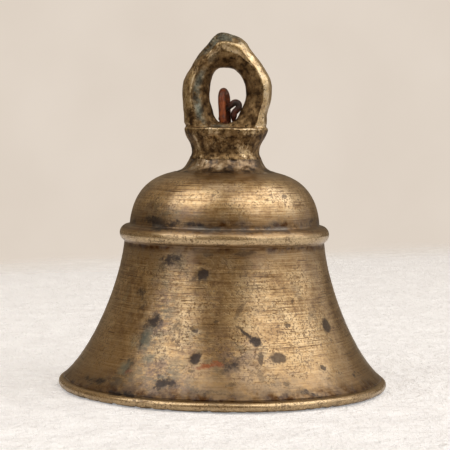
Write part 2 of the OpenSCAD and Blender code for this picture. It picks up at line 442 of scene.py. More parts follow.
# Marks as (turn from the front in degrees, height, half length, half width, tilt in degrees,
# strength). The length lies along the surface: tilt 0 is level and 90 is up the wall.
DARK_STAINS = [
    (-11, 30.2, 1.6, 1.45, 0, 0.95), (14, 15.1, 1.6, 1.1, -38, 0.95), (10, 16.8, 2.1, 0.45, -42, 0.9),
    (7, 18.2, 1, 0.35, -30, 0.7), (-11, 11.3, 1.7, 1.25, 62, 0.95), (55, 17.5, 1.9, 1.8, 70, 0.9),
    (23, 11.4, 2.2, 1.4, 0, 0.85), (15.5, 11.4, 1.9, 0.8, 88, 0.8), (43, 8.6, 1.1, 0.75, -20, 0.85),
    (-12.5, 17.4, 0.9, 0.55, -20, 0.85), (23.5, 5.8, 0.9, 0.6, 0, 0.75), (14.5, 7.6, 1.9, 0.8, 90, 0.6),
    (11, 8, 1.2, 0.7, 80, 0.5), (30.5, 18.5, 0.9, 0.6, 0, 0.8), (7.5, 22, 2.6, 0.6, 62, 0.6),
    (-19.5, 17, 3.2, 0.5, 88, 0.4), (11, 35.2, 3.2, 0.6, 5, 0.7), (-12, 8.6, 0.9, 0.5, 0, 0.7),
    (-8.5, 34.8, 1.4, 0.5, 0, 0.7), (3, 6, 1.3, 0.5, 15, 0.7), (-3, 19.5, 0.7, 0.4, 0, 0.7),
    (36, 24, 0.9, 0.5, 40, 0.7), (62.6, 42.2, 2.6, 1, 10, 0.6), (-7.9, 48.6, 0.6, 0.5, 0, 0.6),
    (42.4, 48.5, 0.8, 0.6, 0, 0.6), (150, 22, 1.9, 1.5, 30, 0.8), (128, 12.5, 2.4, 0.9, -25, 0.7),
    (171, 30.5, 1.3, 1, 0, 0.7), (-148, 16, 1.6, 1.2, 60, 0.8), (-122, 25.5, 1.3, 0.9, 10, 0.7),
    (-100, 9, 3.4, 0.9, 6, 0.6), (98, 27, 1.4, 1, 45, 0.7), (-165, 46, 2.6, 0.9, 8, 0.6)]
GREEN_STAINS = [
    (-35, 15, 2.6, 1.5, 85, 0.8), (-41, 8.2, 2, 1.3, 60, 0.8), (-31, 10.8, 1.6, 1, 20, 0.55),
    (-41, 14, 2.4, 0.8, 75, 0.4), (-58, 24, 3, 0.8, 80, 0.35), (140, 9, 2.6, 1, 70, 0.6),
    (-135, 33, 2.4, 0.8, 80, 0.5)]
RUST_STAINS = [
    (-6, 9.8, 2.4, 0.6, 14, 1), (-2, 10.4, 1.5, 0.6, -30, 0.9), (-38, 7.4, 1, 0.5, 20, 0.5),
    (160, 11, 1.6, 0.5, 10, 0.6)]
SCRATCHES = [
    (-35, 28, 10, 0.09, -3, 0.7), (-30, 25, 7, 0.07, -2, 0.6), (-22, 13, 6, 0.11, -8, 0.75),
    (16, 13.5, 11, 0.07, 0, 0.7), (-2, 44.7, 6, 0.08, 0, 0.7), (24, 49.5, 2.6, 0.06, 68, 0.6),
    (33, 46, 4, 0.06, 12, 0.4), (-46, 20.5, 8, 0.07, -2, 0.5), (38, 30.5, 6, 0.06, 1, 0.5),
    (160, 20, 9, 0.08, 3, 0.6), (-110, 30, 8, 0.08, -4, 0.6), (115, 47, 6, 0.07, 5, 0.6)]

# Wide soft patches, stated in the same way: black ones, violet-grey films and speckled ground
BLOTCHES = [
    (-35, 18.5, 3, 2.4, 60, 1), (-35, 14, 3.5, 1.8, 85, 0.8), (-22, 6.6, 5.5, 2.8, 4, 1),
    (-41, 8.5, 3, 2.4, 70, 0.9), (-30, 32, 4, 2.6, 10, 0.95), (-52, 5, 6, 1.8, 5, 0.8),
    (-36, 3.8, 9, 1.2, 0, 1), (-22, 18, 3, 5, 0, 0.55), (-46, 24, 3, 6, 10, 0.6),
    (48, 20, 3, 4, 0, 0.5), (4, 10, 4.5, 3.4, 30, 0.85), (-10, 30, 4.2, 3.8, 0, 0.85),
    (-42, 41.4, 12, 1.5, 0, 1), (-16, 41.2, 7, 1.3, 0, 0.9), (22, 41.2, 8, 1, 0, 0.7),
    (30, 3.9, 8, 1.2, 0, 0.75), (-5, 4, 8, 1.2, 0, 0.75), (60, 6, 4, 2, 10, 0.7),
    (62, 42.2, 4, 1.4, 5, 0.75), (150, 12, 4, 2.6, 20, 0.9), (-150, 26, 3, 2.6, 60, 0.85),
    (100, 20, 3.4, 2.2, 80, 0.8), (-100, 33, 4, 2, 0, 0.8), (-170, 42.5, 9, 1.6, 0, 0.9),
    (175, 5, 7, 1.8, 3, 0.85)]
VEILS = [
    (-31, 20, 15, 5, 84, 0.9), (-22, 31.5, 7, 4, 20, 0.7), (-42, 6, 9, 3, 8, 0.9),
    (-24, 8, 10, 6, 0, 1), (-18, 5, 10, 2.5, 0, 0.9), (-14, 15, 5, 5, 0, 0.6),
    (3, 12, 9, 7, 0, 0.75), (-7, 26, 9, 4, 75, 0.5), (24, 7, 7, 2.5, 5, 0.4),
    (14, 30, 6, 5, 80, 0.4), (-38, 44, 11, 2, 0, 0.8), (150, 18, 12, 8, 60, 0.7),
    (-140, 22, 12, 7, 75, 0.7), (-95, 14, 9, 6, 20, 0.6), (95, 16, 10, 6, 80, 0.6),
    (170, 44, 8, 3, 0, 0.6)]
SPECKLED = [
    (8, 14, 11, 10, 0, 1), (32, 18, 9, 9, 0, 0.9), (-8, 24, 8, 6, 60, 0.7),
    (22, 30, 8, 6, 0, 0.7), (20, 48, 9, 4, 0, 0.6), (-30, 12, 9, 6, 80, 0.6),
    (130, 18, 12, 9, 0, 0.9), (-120, 20, 12, 9, 0, 0.8)]


def stain_place(turn_deg, height):
    """A point on the bell's outside, and the level, upward and outward directions there."""
    a = math.radians(turn_deg)
    level = Vector((math.cos(a), math.sin(a), 0))
    r, above = outer_radius(height), outer_radius(height + 0.5)
    point = Vector((r * math.sin(a), -r * math.cos(a), height))
    upward = Vector(((above - r) * math.sin(a), -(above - r) * math.cos(a), 0.5)).normalized()
    return point, level, upward, level.cross(upward)


def patch_field(points, patches):
    """The largest strength of the wide soft patches at each point."""
    push = np.column_stack([noise_at(points, 0.12, offset) for offset in (1.0, 2.0, 3.0)])
    pushed = points + 2.5 * push
    total = np.zeros(len(points))
    for turn_deg, height, half_length, half_width, tilt, strength in patches:
        point, level, upward, outward = (np.array(v) for v in stain_place(turn_deg, height))
        offset, a = pushed - point, math.radians(tilt)
        along = offset @ (level * math.cos(a) + upward * math.sin(a)) / half_length
        across = offset @ (upward * math.cos(a) - level * math.sin(a)) / half_width
        off = offset @ outward / half_length
        total = np.maximum(total, strength * bump(np.sqrt(along ** 2 + across ** 2 + off ** 2), 1.6))
    return total


def stain_mask(g, stains, where, softness):
    """The largest strength of the stains at each point. Each fades out over its softness."""
    total = None
    for turn_deg, height, half_length, half_width, tilt, strength in stains:
        point, level, upward, outward = stain_place(turn_deg, height)
        axes = Matrix((level, upward, outward)).transposed()
        facing = (axes @ Matrix.Rotation(math.radians(tilt), 3, "Z")).to_euler()
        size = (half_length, half_width, 2.5)
        local = g.node("Mapping", {0: where, 1: point, 2: facing, 3: size}, vector_type="TEXTURE")
        away = g.length(local.outputs[0])
        one = g.node("MapRange", {0: away, 1: 1.0 + softness, 2: 1.0 - softness, 4: strength},
                     interpolation_type="SMOOTHSTEP").outputs[0]
        total = one if total is None else g.most(total, one)
    return total


# ---- Materials ----

PATINA_BROWN = (0.090, 0.038, 0.012)
PATINA_GREY = (0.12, 0.08, 0.06)
PATINA_BLACK = (0.05, 0.041, 0.04)
PATINA_VIOLET = (0.15, 0.10, 0.09)
PATINA_TEAL = (0.13, 0.135, 0.11)
PATINA_GREEN = (0.13, 0.145, 0.105)
RUST_RED = (0.30, 0.075, 0.02)
CHALK_GREY = (0.46, 0.43, 0.37)

# Share of its radius by which a place on the wall counts as lower, so that tool rings run along
# the flare and don't stretch on it
RUN_SLOPE = 0.6


# Patina that lies in the bell's hollows, as (height, strength): under the lip's step, below and
# above the bead, and round the foot of the neck. The dark at height 0, where the rim meets the
# floor, and the band just under the bead are painted shade.
PATINA_AND_SHADE_BANDS = [
    (0, 0.9), (0.48, 0.2), (2.1, 0.08), (2.46, 1.0), (3, 0.95), (4.8, 0.6), (7.8, 0.3), (13.2, 0.1),
    (30, 0.05), (34.5, 0.5), (36.24, 1.0), (36.9, 0.3), (37.8, 0.05), (39, 0.05), (39.84, 0.8),
    (40.8, 1.0), (42, 0.9), (44.1, 0.4), (46.8, 0.05), (51.6, 0.1), (53.1, 0.6), (54, 0.75)]
HOLLOWS_TOP = 60.0


def tool_rings(g, run, per_mm, drift):
    """Noise drawn out into level rings. run goes up along the wall."""
    along = g.node("CombineXYZ", {0: g.times(g.x, drift), 1: g.times(g.y, drift), 2: g.times(run, per_mm)})
    return g.noise(along.outputs[0], 1.0, 2)


def bare_brass(g, cloud, grain, fine, medium):
    """The clean metal's colour, darker and more orange towards the bottom, and a bright band on the bead
    and the lip that is partly worn metal and partly a painted highlight.
    """
    mottle = g.plus(g.times(cloud, 0.7), g.times(medium, 0.3), g.spread(grain, 0.35), g.spread(fine, 0.36))
    brass = g.ramp(mottle, [(0.38, (0.29, 0.157, 0.046)), (0.5, (0.57, 0.365, 0.155)),
                            (0.62, (0.76, 0.545, 0.285))])
    greyed = g.step(g.clouds(0.11), 0.50, 0.68)
    brass = g.mix(g.times(greyed, 0.4), brass, (0.43, 0.30, 0.165))
    # Darker and more orange towards the bottom
    low = g.step(g.z, 24.0, 8.0)
    brass = g.mix(g.times(low, 0.4), brass, (0.47, 0.285, 0.095))
    # A bright band just under the bead's crest and on the lip: partly worn metal, partly a painted
    # highlight where the lights reflect
    rubbed_and_highlight = g.most(g.band(BEAD_H - 0.5, 1.7, 0.6), g.times(g.band(LIP_R, 1.25, 0.7), 0.7))
    return g.mix(g.times(rubbed_and_highlight, 0.8), brass, (0.80, 0.60, 0.34)), rubbed_and_highlight


def brass_grime_and_shade(g, run, cloud, grain):
    """Dirt in hollows with painted shade at the rim's foot and under the bead, pits, specks, dashes, worn
    lines and wide stains, and the pits by themselves.
    """
    # Patina in the hollows, plus painted shade: dark where the rim meets the floor and under the bead
    hollows = g.ramp(g.math("DIVIDE", g.z, HOLLOWS_TOP), [(at / HOLLOWS_TOP, grey) for at, grey in PATINA_AND_SHADE_BANDS])
    patchy = g.step(g.plus(cloud, g.times(grain, 0.5)), 0.55, 0.92)
    hollows = g.times(hollows, g.plus(g.times(patchy, 0.75), 0.4))
    zone = g.plus(g.times(g.step(cloud, 0.42, 0.60), 0.55), 0.3)
    zone = g.most(zone, g.painted("speckled"))
    pits = g.times(g.step(g.clouds(1.9, 2, 0.55), 0.56, 0.60), zone)
    specks = g.times(g.step(g.clouds(1.05, 3, 0.7), 0.585, 0.62), zone)
    dashes = g.step(g.noise(g.scaled(g.mm, (1, 1, 2.6)), 0.75, 3, 0.62), 0.59, 0.68)
    lined = g.step(g.noise(g.scaled(g.mm, (1, 1, 2)), 0.22), 0.40, 0.58)
    worn_lines = g.times(g.step(tool_rings(g, run, 4.2, 0.10), 0.55, 0.66), lined)
    wide_stain = g.times(g.step(g.clouds(0.085, 5, 0.7), 0.54, 0.70), 0.55)
    grime_and_shade = g.most(hollows, g.times(pits, 0.8), g.times(specks, 0.9), g.times(dashes, 0.5),
                   g.times(worn_lines, 0.85), wide_stain)
    return grime_and_shade, pits


def turned_brass():
    """Old lathe-turned brass: level tool lines, brown patina in the hollows with painted shade under the
    bead and at the rim's foot, a bright band on the bead and the lip that is partly worn and partly a
    painted highlight, pits and stains.
    """
    g = Surface("turned_brass")
    flat = g.node("CombineXYZ", {0: g.x, 1: g.y})
    run = g.minus(g.z, g.times(g.length(flat.outputs[0]), RUN_SLOPE))
    fine = tool_rings(g, run, 3.2, 0.06)
    medium = tool_rings(g, run, 1.1, 0.09)
    broad = tool_rings(g, run, 0.32, 0.03)
    cloud = g.clouds(0.16, 5, 0.62)
    grain = g.clouds(0.9, 4, 0.65)
    brass, rubbed_and_highlight = bare_brass(g, cloud, grain, fine, medium)
    grime_and_shade, pits = brass_grime_and_shade(g, run, cloud, grain)

    streaky = g.step(g.noise(g.scaled(g.mm, (1, 1, 1.8)), 0.5, 5, 0.75), 0.36, 0.56)
    veil = g.times(g.painted("veiled"), streaky)
    blotch = g.plus(g.painted("blotched"), g.spread(g.clouds(0.5, 5, 0.7), 2.0))
    blotch = g.times(g.step(blotch, 0.18, 0.95), 0.95)
    dark = stain_mask(g, DARK_STAINS, g.warped(1.4, 1.0), 0.3)
    green = stain_mask(g, GREEN_STAINS, g.warped(3.0, 0.7), 0.6)
    rust = stain_mask(g, RUST_STAINS, g.warped(1.8, 1.4), 0.6)
    scratch = stain_mask(g, SCRATCHES, g.warped(0.5, 0.12), 0.5)
    scratch = g.times(scratch, g.step(g.clouds(0.8, 2), 0.35, 0.5))
    # Stains and patina together with the painted shade from the hollows
    dirt_and_shade = g.most(grime_and_shade, blotch, g.times(scratch, 0.8))
    dirt_and_shade = g.math("MAXIMUM", dirt_and_shade, dark, clamp=True)

    patina = g.mix(g.step(g.clouds(0.35), 0.42, 0.6), PATINA_BROWN, PATINA_GREY)
    patina = g.mix(g.most(dark, blotch), patina, PATINA_BLACK)
    veil_tone = g.mix(g.step(g.clouds(0.2), 0.44, 0.58), PATINA_VIOLET, PATINA_TEAL)
    color = g.mix(g.times(veil, 0.85), brass, veil_tone)
    color = g.mix(dirt_and_shade, color, patina)
    chalk = g.times(g.band(DOME_Z + 0.2, 0.9, 0.1), g.step(cloud, 0.44, 0.62))
    color = g.mix(g.times(chalk, 0.35), color, CHALK_GREY)
    color = g.mix(g.times(green, 0.75), color, PATINA_GREEN)
    color = g.mix(g.times(rust, 0.8), color, RUST_RED)

    covered = g.most(dirt_and_shade, green, rust, g.times(veil, 0.6))
    metallic = g.minus(1.0, g.times(g.most(rust, green), 0.6))
    roughness = g.plus(g.times(cloud, 0.18), g.times(covered, 0.12), g.minus(0.20, g.times(rubbed_and_highlight, 0.06)))
    height = g.plus(g.times(fine, 0.5), g.times(medium, 0.8), g.times(broad, 0.5))
    height = g.minus(height, g.times(g.most(pits, scratch), 0.8))
    normal = g.bump(height, 0.05)
    normal = g.bump(g.clouds(0.7, 4, 0.6), 0.05, normal)
    tangent = g.node("Tangent", direction_type="RADIAL", axis="Z").outputs[0]
    return g.shade(color, metallic, roughness, normal, Tangent=tangent, Anisotropic=0.45,
                   Anisotropic_Rotation=0.25, Coat_IOR=2.0, Coat_Roughness=0.24,
                   Coat_Weight=g.minus(0.62, g.times(covered, 0.6)))


def bell_inside():
    """The bell's unturned inside: dull brown casting skin with level scraper marks."""
    g = Surface("bell_inside")
    cloud = g.clouds(0.2, 5, 0.65)
    level = g.noise(g.scaled(g.mm, (0.08, 0.08, 2)), 1.0)
    tone = g.plus(g.times(cloud, 0.65), g.times(level, 0.35))
    color = g.ramp(tone, [(0.34, (0.10, 0.066, 0.04)), (0.5, (0.25, 0.17, 0.095)),
                          (0.68, (0.42, 0.305, 0.175))])
    bloom = g.step(g.clouds(0.4, 4, 0.7), 0.6, 0.72)
    color = g.mix(g.times(bloom, 0.6), color, (0.17, 0.185, 0.14))
    grain = g.clouds(1.3, 4, 0.65)
    normal = g.bump(g.plus(grain, g.times(level, 0.7)), 0.12)
    metallic = g.minus(0.9, g.times(bloom, 0.5))
    return g.shade(color, metallic, g.plus(0.42, g.times(cloud, 0.25)), normal)


def cast_brass():
    """Rough cast brass: bright on the outer edges, partly worn and partly a painted highlight, grey green
    in the loop, dark in pits.
    """
    g = Surface("cast_brass")
    greened, wear_and_highlight = g.painted("greened"), g.painted("wear_and_highlight")
    cloud = g.clouds(0.28, 5, 0.65)
    patches = g.clouds(0.55, 4, 0.6)
    grain = g.clouds(2.0, 4, 0.65)
    # The bright tone of the outer edges: worn metal and painted highlight
    worn = g.ramp(patches, [(0.36, (0.42, 0.26, 0.105)), (0.5, (0.66, 0.475, 0.23)),
                            (0.64, (0.78, 0.61, 0.38))])
    brown = g.ramp(patches, [(0.38, (0.06, 0.034, 0.016)), (0.52, (0.22, 0.135, 0.06)),
                             (0.66, (0.40, 0.27, 0.13))])
    green = g.ramp(patches, [(0.38, (0.07, 0.07, 0.052)), (0.52, (0.17, 0.18, 0.14)),
                             (0.66, (0.34, 0.36, 0.30))])
    # Bright on the outer edges: partly worn metal, partly painted highlight
    polish_and_highlight = g.step(g.plus(wear_and_highlight, g.spread(cloud, 1.5), g.spread(grain, 0.7)), 0.36, 0.66)
    greenish = g.times(greened, g.step(g.plus(cloud, g.times(grain, 0.3)), 0.5, 0.72))
    color = g.mix(polish_and_highlight, brown, worn)
    color = g.mix(greenish, color, green)
    pits = g.step(g.clouds(1.7, 3, 0.65), 0.585, 0.66)
    color = g.mix(g.times(pits, 0.85), color, (0.05, 0.032, 0.02))
    metallic = g.minus(1.0, g.times(greenish, 0.55))
    roughness = g.plus(g.minus(0.52, g.times(polish_and_highlight, 0.22)), g.times(greenish, 0.12))
    height = g.minus(g.plus(grain, g.times(patches, 0.8)), pits)
    normal = g.bump(height, 0.09)
    bare = g.times(polish_and_highlight, g.minus(0.6, g.times(pits, 0.6)))
    return g.shade(color, metallic, roughness, normal, Coat_Weight=bare, Coat_IOR=2.0, Coat_Roughness=0.22)


def solder_metal():
    """Lumpy braze: dull brown brass with pale beads."""
    g = Surface("solder")
    patches = g.clouds(0.38, 4, 0.6)
    grain = g.clouds(1.6, 3, 0.6)
    color = g.ramp(patches, [(0.38, (0.07, 0.045, 0.028)), (0.50, (0.24, 0.155, 0.08)),
                             (0.60, (0.36, 0.26, 0.15)), (0.68, (0.54, 0.46, 0.36))])
    pits = g.step(g.clouds(1.1, 2), 0.62, 0.7)
    color = g.mix(g.times(pits, 0.8), color, PATINA_BROWN)
    roughness = g.plus(0.22, g.times(grain, 0.3))
    return g.shade(color, 1.0, roughness, g.bump(g.plus(grain, patches), 0.12), Coat_Weight=0.2,
                   Coat_IOR=2.0, Coat_Roughness=0.22)


def iron(name, red, orange, dark):
    """Rusted wire: scaly rust over darker iron."""
    g = Surface(name)
    patches = g.clouds(0.5, 4, 0.6)
    grain = g.clouds(2.6, 4, 0.65)
    color = g.ramp(patches, [(0.36, dark), (0.5, red), (0.66, orange)])
    color = g.mix(g.times(g.step(grain, 0.6, 0.7), 0.6), color, dark)
    bare = g.step(g.clouds(0.8, 2), 0.6, 0.68)
    color = g.mix(g.times(bare, 0.5), color, (0.20, 0.165, 0.14))
    normal = g.bump(g.plus(grain, patches), 0.1)
    return g.shade(color, g.plus(0.15, g.times(bare, 0.6)), 0.42, normal, Coat_Weight=0.12,
                   Coat_Roughness=0.3)


def clapper_brass():
    """Dull cast brass, beaten bright in patches round the ball's middle, where it strikes the wall."""
    g = Surface("clapper_brass")
    cloud = g.clouds(0.3, 5, 0.65)
    grain = g.clouds(1.6, 4, 0.6)
    struck = g.times(g.band(BOB_H - 1.0, 3.2, 1.2), g.step(cloud, 0.42, 0.55))
    color = g.ramp(cloud, [(0.36, (0.12, 0.08, 0.05)), (0.55, (0.31, 0.22, 0.125)),
                           (0.7, (0.44, 0.33, 0.19))])
    color = g.mix(struck, color, (0.62, 0.47, 0.27))
    pits = g.step(g.clouds(1.2, 2), 0.62, 0.7)
    color = g.mix(g.times(pits, 0.7), color, PATINA_BROWN)
    roughness = g.minus(0.46, g.times(struck, 0.18))
    return g.shade(color, 1.0, roughness, g.bump(g.minus(grain, pits), 0.07))


# ---- Bell body ----

def body_outline():
    """The turned bell's closed outline as (r, z), and how many of its points are outside."""
    outside = [
        line((RIM_IN, 0), (RIM_OUT, 0), 8),
        arc((RIM_OUT, LIP_R), LIP_R, -90, 82, 18),
        [(RIM_OUT - 0.32, LIP_STEP_H - 0.02), (RIM_OUT - 0.36, LIP_STEP_H + 0.12)],
        bezier((RIM_OUT - 0.1, FLANGE_H - 0.1), *FLARE_PULL, (WAIST_R, WAIST_H), 104),
        [(WAIST_R - 0.02, WAIST_H + 0.28)],
        arc((BEAD_R, BEAD_H), BEAD_WIRE_R, -61, 80, 22),
        [(DOME_R + 0.1, DOME_Z + 0.08)],
        bezier((DOME_R, DOME_Z + 0.35), *DOME_PULL, (SEAT_R, DOME_H), 52)]
    hole_r = SPIGOT_R + SPIGOT_GAP
    inside = [
        line((SEAT_R - 0.4, DOME_H), (hole_r, DOME_H), 8),
        line((hole_r, DOME_H), (hole_r, CEILING_H), 4),
        bezier((hole_r, CEILING_H), (7, CEILING_H), (9, CEILING_H), (SEAT_R - 1.2, CEILING_H), 4),
        bezier((SEAT_R - 1, CEILING_H), (19.4 - WALL / 3, CEILING_H - 0.9), (DOME_R - WALL, 47),
               (DOME_R - WALL, DOME_Z), 14),
        bezier((WAIST_R - WALL, WAIST_H), (24, 24), (29.5, 8.5), (RIM_IN - 0.05, 0.1), 34)]
    outside = np.concatenate([np.array(part, float) for part in outside])
    return np.concatenate([outside, *inside]), len(outside)


def worn_body(points, outer):
    """How far each point moves along its normal: tool rings, an uneven wall, dents and pits."""
    run = points[:, 2] - RUN_SLOPE * radius_of(points)
    ring_place = np.column_stack([points[:, 0] * 0.03, points[:, 1] * 0.03, run])
    move = 0.018 * noise_at(ring_place, 1.25, 3) + 0.03 * noise_at(ring_place, 0.33, 9)
    move += 0.07 * (noise_at(points, 0.045, 5) - 0.6) + 0.02 * noise_at(points, 0.3, 2)
    for turn_deg, height, half_length, half_width, tilt, strength in DARK_STAINS:
        if max(half_length, half_width) < 2 and strength > 0.7:
            point = np.array(stain_place(turn_deg, height)[0])
            move -= 0.10 * bump(np.linalg.norm(points - point, axis=1), 1.2 * half_length)
    return np.where(outer, move, 0.12 * noise_at(points, 0.35, 4))


def make_bell(materials):
    """The turned bell, worn outside and rough inside, with a ragged underside to its lip."""
    outline, outside_count = body_outline()
    bell = lathe("bell_body_turned", outline, BELL_SEGMENTS, materials)
    points, normals = points_of(bell), normals_of(bell)
    outer = np.repeat(np.arange(len(outline)) < outside_count, BELL_SEGMENTS)
    move = worn_body(points, outer)
    in_seat = radius_of(points) < SEAT_R
    kept_true = (points[:, 2] < 0.4) | (in_seat & (points[:, 2] > CEILING_H))
    points += normals * np.where(kept_true, 0, move)[:, None]
    rim = bump(points[:, 2], 0.9) * (radius_of(points) > RIM_IN)
    ragged = np.clip(noise_at(points, 0.42, 7) + 0.9 * noise_at(points, 0.95, 1), 0, 1)
    points[:, 2] += rim * 0.45 * ragged
    place_points(bell, points)
    for name, patches in (("veiled", VEILS), ("speckled", SPECKLED), ("blotched", BLOTCHES)):
        put_attribute(bell, name, patch_field(points, patches))
    bell.data.polygons.foreach_set("material_index", (~outer).astype(np.int32))
    return bell


# ---- Crown ----

def loop_rings(steps):
    """Matching inner and outer points round the loop, smoothly between the driving ones."""
    a, b, c, d = (np.roll(LOOP_POINTS, shift, axis=0) for shift in (1, 0, -1, -2))
    rings = []
    for t in np.arange(steps) / steps:
        rings.append(0.5 * (2 * b + (c - a) * t + (2 * a - 5 * b + 4 * c - d) * t * t
                            + (3 * b - a - 3 * c + d) * t ** 3))
    return np.stack(rings, axis=1).reshape(-1, LOOP_POINTS.shape[1])


def loop_solid(materials):
    """The loop as a closed ring of faceted sections, front and back alike."""
    fine = np.linspace(0, len(LOOP_SECTION) - 1, 28)
    share, depth = (np.interp(fine, np.arange(len(LOOP_SECTION)), LOOP_SECTION[:, k]) for k in (0, 1))
    share, depth = np.concatenate([share, share[-2:0:-1]]), np.concatenate([depth, -depth[-2:0:-1]])
    rings = loop_rings(10)
    points = []
    for inner_x, inner_z, outer_x, outer_z, factor in rings:
        x, z = inner_x + (outer_x - inner_x) * share, inner_z + (outer_z - inner_z) * share
        points.append(np.column_stack([x, -depth * LOOP_HALF_DEPTH * factor, z]))
    faces = grid_faces(len(rings), len(share), True)
    return make_piece("loop_part", np.concatenate(points), faces, materials)


def neck_solid(materials):
    """The spigot, the foot, the neck and the flat-topped collar."""
    profile = np.concatenate([
        [(AXIS_R, SPIGOT_H), (BORE_R, SPIGOT_H), (SPIGOT_R, SPIGOT_H)],
        line((SPIGOT_R, SPIGOT_H + 0.4), (SPIGOT_R, DOME_H), 6),
        line((SPIGOT_R, DOME_H), (FOOT_R, DOME_H), 6),
        line((FOOT_R, DOME_H), (FOOT_R, FOOT_TOP_H), 8),
        [(FOOT_R - 0.1, FOOT_TOP_H + 0.3), (NECK_R + 0.25, 57.8)],
        bezier((NECK_R, 58.6), (NECK_R, 61.4), (COLLAR_R - 0.4, 62.1), (COLLAR_R, COLLAR_H - 0.7), 18),
        [(COLLAR_R, COLLAR_H - 0.3), (COLLAR_R - 0.3, COLLAR_H), (6, COLLAR_H), (AXIS_R, COLLAR_H)]])
    return round_solid("neck_part", profile, 160, materials)


def bore_cutter(materials):
    """The hole down through the neck, widening into the loop's hole."""
    bottom, top = SPIGOT_H - 1, COLLAR_H + 4.2
    profile = np.array([(AXIS_R, bottom), (BORE_R, bottom), (BORE_R, COLLAR_H - 1),
                        (FUNNEL_R, COLLAR_H + 1.5), (FUNNEL_R, top), (AXIS_R, top)])
    return round_solid("bore_part", profile, 64, materials)


def applied(piece):
    """Replaces a piece's mesh by what its modifiers make of it."""
    shown = bpy.context.evaluated_depsgraph_get()
    shown.update()
    mesh = bpy.data.meshes.new_from_object(piece.evaluated_get(shown))
    piece.modifiers.clear()
    piece.data = mesh


def loop_place(points):
    """For each point, its share of the way from the loop's inner edge to its outer edge, and its row."""
    steps = 6
    rings = loop_rings(steps)
    inner, outer = rings[:, 0:2], rings[:, 2:4]
    span = outer - inner
    flat = points[:, [0, 2]]
    best = np.full(len(points), np.inf)
    share, row = np.zeros(len(points)), np.zeros(len(points))
    for i in range(len(rings)):
        t = np.clip(((flat - inner[i]) @ span[i]) / (span[i] @ span[i]), 0, 1)
        away = np.linalg.norm(flat - (inner[i] + t[:, None] * span[i]), axis=1)
        closer = away < best
        best[closer], share[closer], row[closer] = away[closer], t[closer], i / steps
    return share, row


def combine(piece, other, operation):
    """Adds a boolean modifier with another closed solid."""
    made = piece.modifiers.new(operation.lower(), "BOOLEAN")
    made.operation, made.object, made.solver = operation, other, "EXACT"


def put_attribute(piece, name, values):
    layer = piece.data.attributes.new(name, "FLOAT", "POINT")
    layer.data.foreach_set("value", values.astype(np.float32))


def crown_solid(materials):
    """Loop and neck melted into one skin with the bore cut out of it."""
    crown, neck, cutter = loop_solid(materials), neck_solid(materials), bore_cutter(materials)
    combine(crown, neck, "UNION")
    combine(crown, cutter, "DIFFERENCE")
    remesh = crown.modifiers.new("skin", "REMESH")
    remesh.mode, remesh.voxel_size = "VOXEL", CROWN_VOXEL * MM
    applied(crown)
    smooth = crown.modifiers.new("smooth", "SMOOTH")
    smooth.factor, smooth.iterations = 0.5, 3
    applied(crown)
    for part in (neck, cutter):
        bpy.data.objects.remove(part)
    crown.name = crown.data.name = "crown_cast"
    crown.data.polygons.foreach_set("use_smooth", [True] * len(crown.data.polygons))
    return crown


def rough_casting(points, share, row):
    """How far each point moves along its normal: lumps, grain, an uneven collar and a torn gate stub."""
    height = points[:, 2]
    on_loop, on_skin = rise(height, COLLAR_H, 1.5), rise(height, DOME_H + 0.5, 1.0)
    lumps = 0.20 * (noise_at(points, 0.19, 1) - 0.35) * on_loop + 0.10 * noise_at(points, 0.5, 2)
    eaten = np.clip(0.4 + 1.2 * noise_at(points, 0.22, 7), 0, 1)
    lumps -= 0.3 * bump(height - COLLAR_H + 0.3, 1.6) * eaten
    grain = 0.045 * noise_at(points, 1.3, 3)
    stub = bump(row - STUB_ROW, 1.6) * rise(share, 0.70, 0.08) * (1 - rise(share, 0.92, 0.05))
    torn = 0.55 * stub * (1 + 0.6 * noise_at(points, 0.7, 6)) * (points[:, 1] < 0)
    return (lumps + grain) * on_skin - 0.03 - torn


def paint_crown(crown, points, share, row):
    """Green lies on the loop's left flank and on the stub. The bright tone on the outer edges, stronger on
    the right and at the top, and on the collar's rim is partly worn metal and partly painted highlight; the
    neck gets some of it too.
    """
    above = rise(points[:, 2], COLLAR_H - 0.1, 0.4)
    left = rise(-points[:, 0], -1.5, 3)
    top = bump(row - TOP_ROW, 4.0)
    stub = bump(row - STUB_ROW + 0.1, 2.4) * rise(share, 0.72, 0.08)
    greened = above * np.maximum(left * bump(share - 0.46, 0.22) * (1 - top), stub)
    # Outer flank, wider at the top and stronger on the right than on the left: partly worn metal, partly
    # painted highlight
    outer_flank = rise(share + 0.2 * top, CREST_AT - 0.03, 0.08)
    handled_and_lit = above * outer_flank * (1 - stub) * (0.85 - 0.35 * left)
    # The collar's rim: a bright line, partly worn edge and partly painted highlight
    collar_edge = bump(points[:, 2] - COLLAR_H + 0.35, 0.8) * (radius_of(points) > 9.5)
    put_attribute(crown, "greened", greened)
    put_attribute(crown, "wear_and_highlight", np.maximum(handled_and_lit, np.maximum(0.35 * (1 - above), 0.62 * collar_edge)))


def make_crown(materials):
    """The rough casting with its loop, its neck and its spigot."""
    crown = crown_solid(materials)
    points = points_of(crown)
    share, row = loop_place(points)
    push_out(crown, points, rough_casting(points, share, row))
    paint_crown(crown, points_of(crown), share, row)
    return crown


# Fat beads in the braze: turn from the front in degrees, height, radius
BRAZE_BEADS = [(-27.6, 56.2, 1.5), (20.2, 56.2, 1.3), (31.9, 54.7, 1.6), (-60, 55, 1.8), (150, 55.4, 2.0)]


